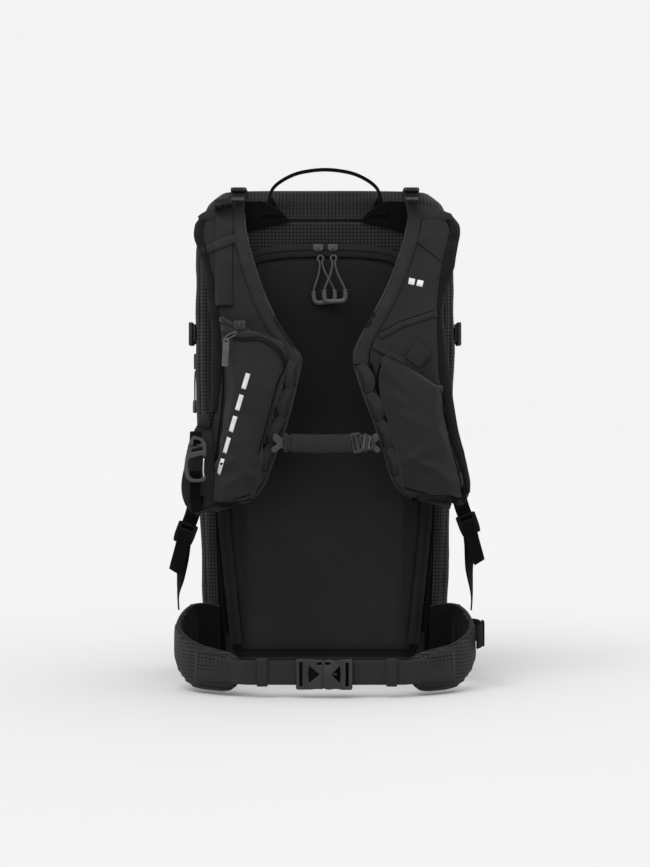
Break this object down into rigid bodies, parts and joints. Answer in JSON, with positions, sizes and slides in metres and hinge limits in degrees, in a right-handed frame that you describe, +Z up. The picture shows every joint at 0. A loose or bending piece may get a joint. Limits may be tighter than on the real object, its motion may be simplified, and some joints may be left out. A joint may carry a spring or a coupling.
{
  "type": "avalanche airbag backpack",
  "caption": "Ski touring airbag backpack with vest shoulder harness, buckled hip belt, back-access zip, electric blower, folded airbag and trigger handle.",
  "frame": {"origin": "centre of the flat base that the pack stands on", "axes": "+Z up, -Y towards the harness side that lies on the wearer's back, +X to the right as seen from the harness side"},
  "size_m": [0.3338, 0.3718, 0.562],
  "materials": {
    "ripstop": "woven ripstop grid",
    "black_fabric": "plain black weave",
    "back_foam": "smooth stretch fabric over foam",
    "zip_tape": "coated zip tape",
    "frame_plate": "translucent white plastic sheet",
    "aluminium": "plain aluminium",
    "balloon": "thin orange nylon",
    "hard_plastic": "fine moulded texture",
    "duct_rubber": "matte",
    "cell_wrap": "blue shrink wrap",
    "button_red": "satin red",
    "cable_jacket": "satin black",
    "webbing": "ribbed webbing",
    "strap_fabric": "fine woven nylon",
    "pull_tab": "light grey tab",
    "gate_wire": "bright wire"
  },
  "bodies": {
    "pack": {"top_panel": "ripstop", "base_panel": "black_fabric", "side_panel_left": "ripstop", "side_panel_right": "ripstop", "front_panel": "ripstop", "back_wall": "black_fabric", "back_surround": "black_fabric", "back_panel": "back_foam", "back_zip": "zip_tape", "frame_sheet": "frame_plate", "frame_rod": "aluminium", "divider": "black_fabric", "front_zip": "zip_tape", "airbag_folded": "balloon", "fan_housing": "hard_plastic", "fan_motor": "aluminium", "air_duct": "duct_rubber", "power_case": "hard_plastic", "capacitor_cells": "cell_wrap", "trigger_cable": "cable_jacket", "strap_yokes": "black_fabric", "load_lifters": "webbing", "lower_webbing": "webbing", "hip_wing_left": "ripstop", "hip_wing_right": "ripstop", "hip_webbing": "webbing", "hip_keepers": "webbing", "hip_buckle_female": "hard_plastic", "gear_loop": "webbing", "compression_straps": "webbing", "side_zip": "zip_tape"},
    "harness": {"shoulder_strap_left": "strap_fabric", "shoulder_strap_right": "strap_fabric", "handle_pocket": "strap_fabric", "stretch_pocket": "strap_fabric", "pocket_tab": "black_fabric", "ladder_webbing": "webbing", "cable_sleeve": "webbing", "sternum_hooks": "hard_plastic", "ladder_locks": "hard_plastic", "webbing_tails": "webbing", "lifter_buckles": "hard_plastic"},
    "sternum_strap": {"sternum_strap": "webbing"},
    "trigger_handle": {"trigger_handle": "button_red"},
    "pocket_slider": {"pocket_slider": "hard_plastic"},
    "pocket_pull": {"pocket_pull": "pull_tab"},
    "snap_hook": {"snap_hook": "hard_plastic"},
    "snap_gate": {"snap_gate": "gate_wire"},
    "grab_handle": {"grab_handle": "webbing"},
    "zip_slider_left": {"zip_slider_left": "hard_plastic"},
    "zip_slider_right": {"zip_slider_right": "hard_plastic"},
    "zip_pull_left": {"zip_pull_left": "cable_jacket"},
    "zip_pull_right": {"zip_pull_right": "cable_jacket"},
    "side_slider": {"side_slider": "hard_plastic"},
    "side_pull": {"side_pull": "cable_jacket"},
    "hip_buckle_male": {"hip_buckle_male": "hard_plastic"},
    "compression_buckle_left": {"compression_buckle_left": "hard_plastic"},
    "compression_buckle_right": {"compression_buckle_right": "hard_plastic"},
    "fan_impeller": {"fan_impeller": "hard_plastic"},
    "power_button": {"power_button": "button_red"}
  },
  "joints": [
    {"name": "harness_swing", "type": "hinge", "parent": "pack", "child": "harness", "pos_m": [0, -0.097, 0.522], "axis": [-1, 0, 0], "range_deg": [0, 12]},
    {"name": "sternum_swing", "type": "hinge", "parent": "harness", "child": "sternum_strap", "pos_m": [-0.05, -0.171, 0.26], "axis": [0, 0, -1], "range_deg": [0, 95]},
    {"name": "trigger_pull", "type": "slide", "parent": "harness", "child": "trigger_handle", "axis": [0, 0, -1], "range_m": [0, 0.015]},
    {"name": "pocket_zip_slide", "type": "slide", "parent": "harness", "child": "pocket_slider", "axis": [0.9205, 0, -0.3907], "range_m": [0, 0.042]},
    {"name": "pocket_pull_swing", "type": "hinge", "parent": "pocket_slider", "child": "pocket_pull", "pos_m": [-0.0935, -0.1827, 0.377], "axis": [-1, 0, 0], "range_deg": [0, 70]},
    {"name": "snap_hook_swing", "type": "hinge", "parent": "harness", "child": "snap_hook", "pos_m": [-0.138, -0.171, 0.261], "axis": [-1, 0, 0], "range_deg": [0, 60]},
    {"name": "snap_gate_swing", "type": "hinge", "parent": "snap_hook", "child": "snap_gate", "pos_m": [-0.1285, -0.171, 0.2234], "axis": [0, -1, 0], "range_deg": [0, 24], "stiffness_Nm_per_rad": 0.01, "springref_deg": -11.46},
    {"name": "grab_handle_fold", "type": "hinge", "parent": "pack", "child": "grab_handle", "pos_m": [0, -0.088, 0.532], "axis": [1, 0, 0], "range_deg": [-25, 25]},
    {"name": "zip_slide_left", "type": "slide", "parent": "pack", "child": "zip_slider_left", "axis": [-1, 0, 0], "range_m": [0, 0.03]},
    {"name": "zip_slide_right", "type": "slide", "parent": "pack", "child": "zip_slider_right", "axis": [1, 0, 0], "range_m": [0, 0.03]},
    {"name": "zip_pull_swing_left", "type": "hinge", "parent": "zip_slider_left", "child": "zip_pull_left", "pos_m": [-0.0075, -0.102, 0.467], "axis": [0, 1, 0], "range_deg": [0, 25]},
    {"name": "zip_pull_swing_right", "type": "hinge", "parent": "zip_slider_right", "child": "zip_pull_right", "pos_m": [0.0085, -0.108, 0.467], "axis": [0, -1, 0], "range_deg": [0, 25]},
    {"name": "side_zip_slide", "type": "slide", "parent": "pack", "child": "side_slider", "axis": [0, 0, -1], "range_m": [0, 0.06]},
    {"name": "side_pull_swing", "type": "hinge", "parent": "side_slider", "child": "side_pull", "pos_m": [-0.1484, -0.004, 0.3425], "axis": [0, 1, 0], "range_deg": [0, 28]},
    {"name": "hip_buckle_release", "type": "slide", "parent": "pack", "child": "hip_buckle_male", "axis": [-1, 0, 0], "range_m": [0, 0.02]},
    {"name": "compression_release_left", "type": "slide", "parent": "pack", "child": "compression_buckle_left", "axis": [0, -1, 0], "range_m": [0, 0.008]},
    {"name": "compression_release_right", "type": "slide", "parent": "pack", "child": "compression_buckle_right", "axis": [0, -1, 0], "range_m": [0, 0.008]},
    {"name": "fan_spin", "type": "hinge", "parent": "pack", "child": "fan_impeller", "pos_m": [-0.056, -0.038, 0.365], "axis": [0, 1, 0], "continuous": true},
    {"name": "power_button_press", "type": "slide", "parent": "pack", "child": "power_button", "axis": [0, 1, 0], "range_m": [0, 0.0015], "stiffness_N_per_m": 200, "springref_m": -0.0005}
  ]
}
